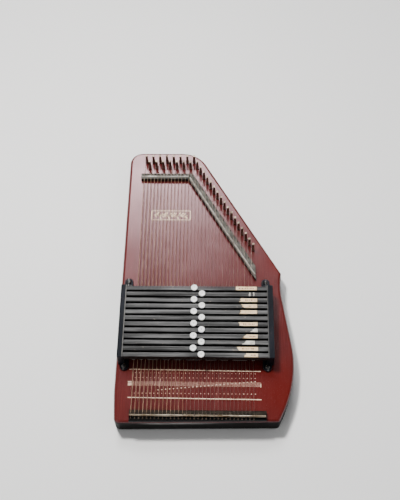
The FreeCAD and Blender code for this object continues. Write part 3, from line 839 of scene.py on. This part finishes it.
def make_string_tip(k):
    """The string's end, through the eye of its tuning pin, which carries it round."""
    pin_x, pin_y, _ = PIN_PLACES[k]
    wire = wire_radius(k)
    reach = PIN_RADIUS + wire + TOUCH_GAP
    points = [
        place(pin_x - reach - TIP_LENGTH, pin_y - TIP_KINK, PIN_EYE_Z + TIP_KINK),
        place(pin_x - PIN_RADIUS, pin_y, PIN_EYE_Z),
    ]
    for angle in arc(math.pi / 2, 0.0, 5):
        points.append(upright(pin_x + reach - TIP_BEND, pin_y, PIN_EYE_Z - TIP_BEND, TIP_BEND, angle))
    points.append(place(pin_x + reach, pin_y, PIN_EYE_Z - COIL_BELOW_EYE - wire))
    bm = bmesh.new()
    tube(bm, points, wire * MM)
    name = f"{k + 1:02d}"
    piece(f"string_tip_{name}", bm, WIRE, f"tuning_pin_{name}", 60)


# -------- chord bars
# A bar's edges are rounded little below and more above, and its faces waver and sink by up to this.
BAR_ROUNDING = (0.4, 0.9)
BAR_STATIONS = 40
BAR_WAVER = 0.012
BAR_SINK = 0.07
# A button's outline from the middle of its dished top down to its foot: radius and height.
BUTTON_PROFILE = [
    (0.15, 2.78), (1.5, 2.80), (2.8, 2.89), (3.7, 3.02), (4.3, 3.13), (4.7, 3.18), (5.05, 3.10),
    (5.3, 2.88), (5.45, 2.5), (5.5, 2.0), (5.5, 0.8), (5.4, 0.5), (5.2, 0.3), (5.2, 0.0),
]
NUMERAL_SIZE = 3.4
NUMERAL_DEPTH = 0.05
NUMERAL_Z = 2.83
# Strings press a dent of this depth and half width into a felt, and its ends are cut back a little.
FELT_DENT = 0.5
FELT_DENT_WIDTH = 0.7
FELT_END = 0.2
FELT_STEP = 0.8
FELT_ROUNDING = (0.7, 0.1)


def bar_body(n):
    """The name that a bar's body and its CAD node share."""
    return f"chord_bar_{n:02d}"


def bar_levels(n):
    """A bar's own box: bass end, treble end, middle Y, bottom Z and top Z, in millimetres."""
    low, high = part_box(bar_body(n))
    left, _, _ = drawn(low)
    right, _, button_top = drawn(high)
    y = middle(bar_body(n))[1]
    top = button_top - BUTTON_HEIGHT
    return left, right, y, top - BAR_HEIGHT, top


def make_bar_wood(n):
    """A hand-finished wooden bar: its faces waver slightly along its length."""
    rng = random.Random(100 + n)
    left, right, y, bottom, top = bar_levels(n)
    section = rounded_section(BAR_WIDTH / 2, bottom, top, *BAR_ROUNDING)
    stations = []
    for i in range(BAR_STATIONS + 1):
        x = left + (right - left) * i / BAR_STATIONS
        waver = 1 - rng.uniform(0.0, BAR_WAVER)
        sink = rng.uniform(0.0, BAR_SINK)
        ring = []
        for dy, z in section:
            height = z - sink if z > bottom + BAR_HEIGHT / 2 else z
            ring.append(place(x, y + dy * waver, height))
        stations.append(ring)
    bm = bmesh.new()
    loft(bm, stations)
    name = bar_body(n)
    thing = piece(f"bar_{n:02d}", bm, BAR_PAINT, name, 35)
    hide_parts(name)


def make_button(n):
    """A dished push button with its number printed on it."""
    _, _, y, _, top = bar_levels(n)
    x = BUTTON_X[n % 2]
    body = bar_body(n)
    bm = bmesh.new()
    lathe(bm, place(x, y, top), BUTTON_PROFILE)
    piece(f"button_{n:02d}", bm, BUTTON, body, 50)
    text = bpy.data.curves.new(f"numeral_{n:02d}", "FONT")
    text.body = str(n)
    text.size = NUMERAL_SIZE * MM
    text.align_x = "CENTER"
    text.align_y = "CENTER"
    text.extrude = NUMERAL_DEPTH * MM
    numeral = bpy.data.objects.new(f"numeral_{n:02d}", text)
    numeral.location = place(x, y, top + NUMERAL_Z)
    bpy.context.scene.collection.objects.link(numeral)
    text.materials.append(NUMERAL_INK)
    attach(numeral, body)


def felt_runs(n):
    """Groups of neighbouring strings that bar n mutes, as first and last string numbers."""
    root, kind = CHORDS[n - 1]
    ringing = {(root + step) % 12 for step in kind}
    runs = []
    for k, note in enumerate(STRING_NOTES):
        if note in ringing:
            continue
        if runs and runs[-1][1] == k - 1:
            runs[-1][1] = k
        else:
            runs.append([k, k])
    return runs


def make_felts(n):
    """Felt pads cut to length, bulging a little between the strings that mark them."""
    rng = random.Random(200 + n)
    low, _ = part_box(bar_body(n))
    _, _, y, bottom, _ = bar_levels(n)
    felt_bottom = drawn(low)[2]
    bm = bmesh.new()
    for first, last in felt_runs(n):
        start = string_x(first) - FELT_REACH
        end = string_x(last) + FELT_REACH
        count = max(6, round((end - start) / FELT_STEP))
        stations = []
        for i in range(count + 1):
            x = start + (end - start) * i / count
            to_string = min(abs(x - string_x(k)) for k in range(first, last + 1))
            dent = FELT_DENT * math.exp(-(to_string / FELT_DENT_WIDTH) ** 2)
            cut = FELT_END if i in (0, count) else 0.0
            half = FELT_WIDTH / 2 - rng.uniform(0.0, 0.2) - cut
            lift = dent + rng.uniform(0.0, 0.12) + cut
            section = rounded_section(half, felt_bottom + lift, bottom, *FELT_ROUNDING, 3)
            stations.append([place(x, y + dy, z) for dy, z in section])
        loft(bm, stations)
    piece(f"felts_{n:02d}", bm, FELT, bar_body(n), 60)


LABEL_MARGIN = 0.75
LABEL_LOW = 0.10
LABEL_THICKNESS = 0.09
LABEL_ROWS = 8
LABEL_COLUMNS = 14
# How raggedly a label has to be torn for its end to curl up fully.
RAGGED = 0.7
PRINT_INSET = (4.5, 4.0)
PRINT_LOW = 0.105
PRINT_DEPTH = 0.02
# What is left of each bar's paper label: left end, right end, slant of the torn end, raggedness, pale.
LABELS = {
    1: [(62.0, 97.6, 0.0, 0.3, False)],
    2: [(84.0, 86.6, 0.8, 0.9, True), (91.5, 93.0, -0.5, 0.6, True)],
    3: [(70.0, 97.6, 3.0, 1.6, False)],
    4: [(73.5, 97.4, -5.0, 1.3, False)],
    5: [(69.5, 97.2, 3.5, 1.8, False)],
    7: [(67.5, 97.6, -2.0, 0.8, False)],
    8: [(88.5, 97.6, 6.5, 1.4, True)],
    9: [(76.0, 97.4, 5.0, 1.2, False)],
    10: [(75.0, 92.5, 6.0, 2.2, True)],
    11: [(65.0, 97.6, -3.5, 0.5, False)],
    12: [(76.5, 97.4, 4.0, 1.3, False)],
}


def make_labels(n):
    """Paper labels, torn and worn, with a row of plain printed dashes."""
    rng = random.Random(300 + n)
    _, _, y, _, top = bar_levels(n)
    half = BAR_WIDTH / 2 - LABEL_MARGIN
    body = bar_body(n)
    for index, (left, right, slant, ragged, pale) in enumerate(LABELS[n]):
        stations = []
        bm = bmesh.new()
        for j in range(LABEL_ROWS + 1):
            share = j / LABEL_ROWS - 0.5
            start = left + slant * share + rng.uniform(-ragged, ragged)
            end = right + rng.uniform(-0.2, 0.2)
            row = []
            for i in range(LABEL_COLUMNS + 1):
                along = i / LABEL_COLUMNS
                curl = max(0.0, 1 - along * 9) * rng.uniform(0.1, 0.55) * (0.4 if ragged < RAGGED else 1.0)
                x = start + (end - start) * along
                row.append(bm.verts.new(place(x, y + 2 * half * share, top + LABEL_LOW + curl)))
            stations.append(row)
        for a, b in zip(stations, stations[1:]):
            for i in range(LABEL_COLUMNS):
                bm.faces.new((a[i], a[i + 1], b[i + 1], b[i]))
        finish = WHITE_PAPER if pale else CREAM_PAPER
        thing = piece(f"label_{n:02d}_{index + 1}", bm, finish, body, 80)
        thick = thing.modifiers.new("thick", "SOLIDIFY")
        thick.thickness = LABEL_THICKNESS * MM
        thick.offset = -1.0
        if not pale:
            start = left + ragged + abs(slant) / 2 + PRINT_INSET[0]
            make_print(n, start, right - PRINT_INSET[1], y, top + PRINT_LOW, rng)


def make_print(n, left, right, y, z, rng):
    """A row of short printed dashes along a label."""
    bm = bmesh.new()
    x = left
    while x < right:
        width = rng.choice((1.1, 1.6, 2.2))
        height = rng.choice((0.35, 0.8, 1.1))
        ring = [(x, y - height), (x + width, y - height), (x + width, y + height), (x, y + height)]
        loft(bm, [[place(*corner, height_z) for corner in ring] for height_z in (z, z + PRINT_DEPTH)])
        x += width + rng.choice((0.7, 1.2))
    piece(f"label_print_{n:02d}", bm, PRINT_INK, bar_body(n))


def make_chord_bars():
    for n in range(1, BAR_COUNT + 1):
        make_bar_wood(n)
        make_button(n)
        make_felts(n)
        if n in LABELS:
            make_labels(n)


# -------- springs
SPRING_MEAN_RADIUS = 2.45
SPRING_WIRE = 0.32
SPRING_TURNS = 6.5
SPRING_CLOSED_TURNS = 0.9
SPRING_STEPS = 16


def make_springs():
    """A coil spring under each end of each bar, each with a mesh of its own."""
    low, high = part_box("bar_springs")
    spring_left, _, spring_bottom = drawn(low)
    spring_right, _, spring_top = drawn(high)
    outer = SPRING_MEAN_RADIUS + SPRING_WIRE
    height = spring_top - spring_bottom
    steps = round(SPRING_TURNS * SPRING_STEPS)
    for n in range(1, BAR_COUNT + 1):
        y = bar_levels(n)[2]
        for side, x in (("bass", spring_left + outer), ("treble", spring_right - outer)):
            points = []
            for i in range(steps + 1):
                share = i / steps
                climbed = share * SPRING_TURNS - SPRING_CLOSED_TURNS
                rise = min(1.0, max(0.0, climbed / (SPRING_TURNS - 2 * SPRING_CLOSED_TURNS)))
                angle = 2 * math.pi * SPRING_TURNS * share
                z = spring_bottom + SPRING_WIRE + (height - 2 * SPRING_WIRE) * rise
                z += 0.3 * SPRING_WIRE * (share - rise)
                points.append(level(x, y, z, SPRING_MEAN_RADIUS, angle))
            bm = bmesh.new()
            tube(bm, points, SPRING_WIRE * MM, 6)
            thing = piece(f"spring_{side}_{n:02d}", bm, SPRING_STEEL, smooth_angle=60)
            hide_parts("bar_springs")
            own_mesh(thing)


# -------- transfers on the soundboard
LINE_STEP = 3.0
LEAST_LEAF = 0.12
PANEL_X = (-90.0, -19.6)
PANEL_Y = (379.8, 399.0)
STEM_WIDTH = 1.3
CHART_X = (-114.0, 103.0)
# Each rule's Y at the bass and the treble end, and each row's Y and size of mark.
CHART_RULES = ((88.6, 86.4), (39.5, 37.6))
CHART_ROWS = ((82.2, 1.1), (73.9, 1.3), (46.9, 1.4))
# Marks and dots stand beside their string by this.
BESIDE_STRING = 3.1
STAVE_Y = 60.6
STAVE_STEP = 1.6
DOT_COUNT = 26
DOTS_Y = 52.6
DOTS_RISE = 15.6


def wavering(start, end, width, rng):
    """Points and widths of a printed line that is worn a little uneven."""
    length = math.hypot(end[0] - start[0], end[1] - start[1])
    count = max(2, round(length / LINE_STEP))
    points = []
    widths = []
    for i in range(count + 1):
        share = i / count
        points.append((start[0] + (end[0] - start[0]) * share, start[1] + (end[1] - start[1]) * share))
        widths.append(width * rng.uniform(0.8, 1.1))
    return points, widths


def ink_line(bm, start, end, width, rng):
    points, widths = wavering(start, end, width, rng)
    ribbon(bm, points, widths)


def leaf(bm, x, y, angle, length, width):
    """A pointed leaf that starts at a point and lies at an angle."""
    points = []
    widths = []
    for i in range(7):
        share = i / 6
        points.append((x + length * share * math.cos(angle), y + length * share * math.sin(angle)))
        widths.append(max(LEAST_LEAF, width * math.sin(math.pi * share) ** 0.8))
    ribbon(bm, points, widths)


def make_name_panel():
    """A framed panel under the bass strings, filled with a plain vine ornament."""
    rng = random.Random(41)
    (left, right), (low, high) = PANEL_X, PANEL_Y
    bm = bmesh.new()
    for start, end in (((left, low), (right, low)), ((left, high), (right, high)),
                       ((left, low), (left, high)), ((right, low), (right, high))):
        ink_line(bm, start, end, 1.5, rng)
    piece("panel_frame", bm, GOLD)
    bm = bmesh.new()
    middle_y = (low + high) / 2
    stem = []
    widths = []
    for i in range(64):
        x = left + 4 + i
        stem.append((x, middle_y + 2.2 * math.sin(i * 0.42)))
        widths.append(STEM_WIDTH)
    ribbon(bm, stem, widths)
    for i in range(2, 62, 4):
        x, y = stem[i]
        up = 1 if (i // 4) % 2 else -1
        leaf(bm, x, y, up * math.radians(62), 7.2, 2.8)
        leaf(bm, x + 1.2, y, -up * math.radians(48), 5.6, 2.4)
    piece("panel_vine", bm, GOLD)


def make_note_chart():
    """The printed chart near the tail: two rules, marks for each string, and a stave of dots."""
    rng = random.Random(42)
    left, right = CHART_X
    bm = bmesh.new()
    for left_y, right_y in CHART_RULES:
        ink_line(bm, (left, left_y), (right, right_y), 1.4, rng)
    piece("chart_rules", bm, GOLD)
    bm = bmesh.new()
    for y, size in CHART_ROWS:
        for k in range(STRING_COUNT):
            x = string_x(k) + BESIDE_STRING
            wide = 1.15 * size
            tall = 1.1 * size * rng.uniform(0.6, 1.4)
            ink_line(bm, (x - wide / 2, y), (x + wide / 2, y + 0.1), tall, rng)
    for i in range(5):
        y = STAVE_Y + STAVE_STEP * i
        ink_line(bm, (left, y), (right, y - 0.6), 0.4, rng)
    for x, low, high in ((-70.6, 60.5, 67.5), (-63.4, 58.0, 72.0)):
        ink_line(bm, (x, low), (x + 1.4, high), 1.4, rng)
    piece("chart_marks", bm, FAINT_GOLD)
    bm = bmesh.new()
    for i in range(DOT_COUNT):
        x = string_x(STRING_COUNT - DOT_COUNT + i) + BESIDE_STRING
        y = DOTS_Y + DOTS_RISE * i / (DOT_COUNT - 1)
        ink_line(bm, (x - 1.0, y), (x + 1.0, y + 0.3), 1.5, rng)
    ink_line(bm, (right - 0.5, 58.5), (right - 0.5, 65.0), 1.3, rng)
    for y in (61.0, 63.8, 66.6):
        ink_line(bm, (left - 1.0, y), (left + 5.0, y), 1.5, rng)
    piece("chart_notes", bm, GOLD)


# -------- stage, lights and camera
def make_stage():
    bm = bmesh.new()
    bmesh.ops.create_grid(bm, x_segments=2, y_segments=2, size=6.0)
    mesh = bpy.data.meshes.new("floor")
    bm.to_mesh(mesh)
    bm.free()
    floor = bpy.data.objects.new("floor", mesh)
    bpy.context.scene.collection.objects.link(floor)
    f = Finish("floor_paper", Specular_IOR_Level=0.1)
    f.feed(f.mix(f.noise(3, 2), (0.88, 0.88, 0.88), (0.9, 0.9, 0.9)), "Base Color")
    f.shader.inputs["Roughness"].default_value = 0.9
    mesh.materials.append(f.material)


def make_light(name, location, size, energy, colour=(1, 1, 1), in_gloss=True):
    """A square lamp aimed at the instrument's middle."""
    data = bpy.data.lights.new(name, "AREA")
    data.size = size
    data.energy = energy
    data.color = colour
    lamp = bpy.data.objects.new(name, data)
    lamp.location = location
    lamp.rotation_euler = (-Vector(location)).to_track_quat("-Z", "Y").to_euler()
    lamp.visible_glossy = in_gloss
    bpy.context.scene.collection.objects.link(lamp)


def make_lights():
    make_light("key", (-0.45, 0.42, 1.6), 0.25, 42.0, (1.0, 0.985, 0.96), in_gloss=False)
    make_light("right_fill", (1.3, -0.2, 1.5), 1.0, 6.0, in_gloss=False)
    make_light("front_fill", (-1.2, -1.3, 1.6), 1.2, 6.0)
    make_world()


# The studio's surround: bright low down, dark overhead, with one soft panel high behind the head.
# The panel's core and halo hold the degrees where they end and where they are full, and their strength.
# The horizon holds the heights where it starts and ends, and its strength at each.
PANEL_DIRECTION = (-0.1, 0.66, 0.745)
PANEL_CORE = (10.8, 6.6, 17.0)
PANEL_HALO = (19.0, 9.0, 1.25)
HORIZON = (0.1, 0.7, 0.34, 0.08)


def make_world():
    world = bpy.data.worlds.new("studio")
    world.use_nodes = True
    tree = world.node_tree
    direction = tree.nodes.new("ShaderNodeTexCoord").outputs["Generated"]

    def fade(value, numbers):
        node = tree.nodes.new("ShaderNodeMapRange")
        node.interpolation_type = "SMOOTHSTEP"
        for socket, number in zip(RANGE_SOCKETS, numbers):
            node.inputs[socket].default_value = number
        tree.links.new(value, node.inputs["Value"])
        return node.outputs["Result"]

    def add(a, b):
        node = tree.nodes.new("ShaderNodeMath")
        tree.links.new(a, node.inputs[0])
        tree.links.new(b, node.inputs[1])
        return node.outputs["Value"]

    height = tree.nodes.new("ShaderNodeSeparateXYZ")
    tree.links.new(direction, height.inputs["Vector"])
    toward = tree.nodes.new("ShaderNodeVectorMath")
    toward.operation = "DOT_PRODUCT"
    toward.inputs[1].default_value = Vector(PANEL_DIRECTION).normalized()
    tree.links.new(direction, toward.inputs[0])
    strength = fade(height.outputs["Z"], HORIZON)
    for outer, inner, bright in (PANEL_CORE, PANEL_HALO):
        limits = (math.cos(math.radians(outer)), math.cos(math.radians(inner)), 0.0, bright)
        strength = add(strength, fade(toward.outputs["Value"], limits))
    background = tree.nodes["Background"]
    background.inputs["Color"].default_value = (1.0, 1.0, 1.0, 1.0)
    tree.links.new(strength, background.inputs["Strength"])
    bpy.context.scene.world = world


# The camera's place in the instrument's millimetres, and its turn about X, Y and Z in degrees.
CAMERA_PLACE = (31.265, -457.594, 1340.947)
CAMERA_TURN = (30.01354, 0.85299, 0.88962)


def make_camera():
    data = bpy.data.cameras.new("camera")
    data.sensor_width = 36.0
    data.lens = 62.6
    data.clip_start = 0.05
    camera = bpy.data.objects.new("camera", data)
    camera.location = place(*CAMERA_PLACE)
    camera.rotation_euler = [math.radians(turn) for turn in CAMERA_TURN]
    bpy.context.scene.collection.objects.link(camera)
    bpy.context.scene.camera = camera


make_sound_box()
make_head_bridge()
make_strings()
make_chord_bars()
make_springs()
make_name_panel()
make_note_chart()
make_stage()
make_lights()
make_camera()
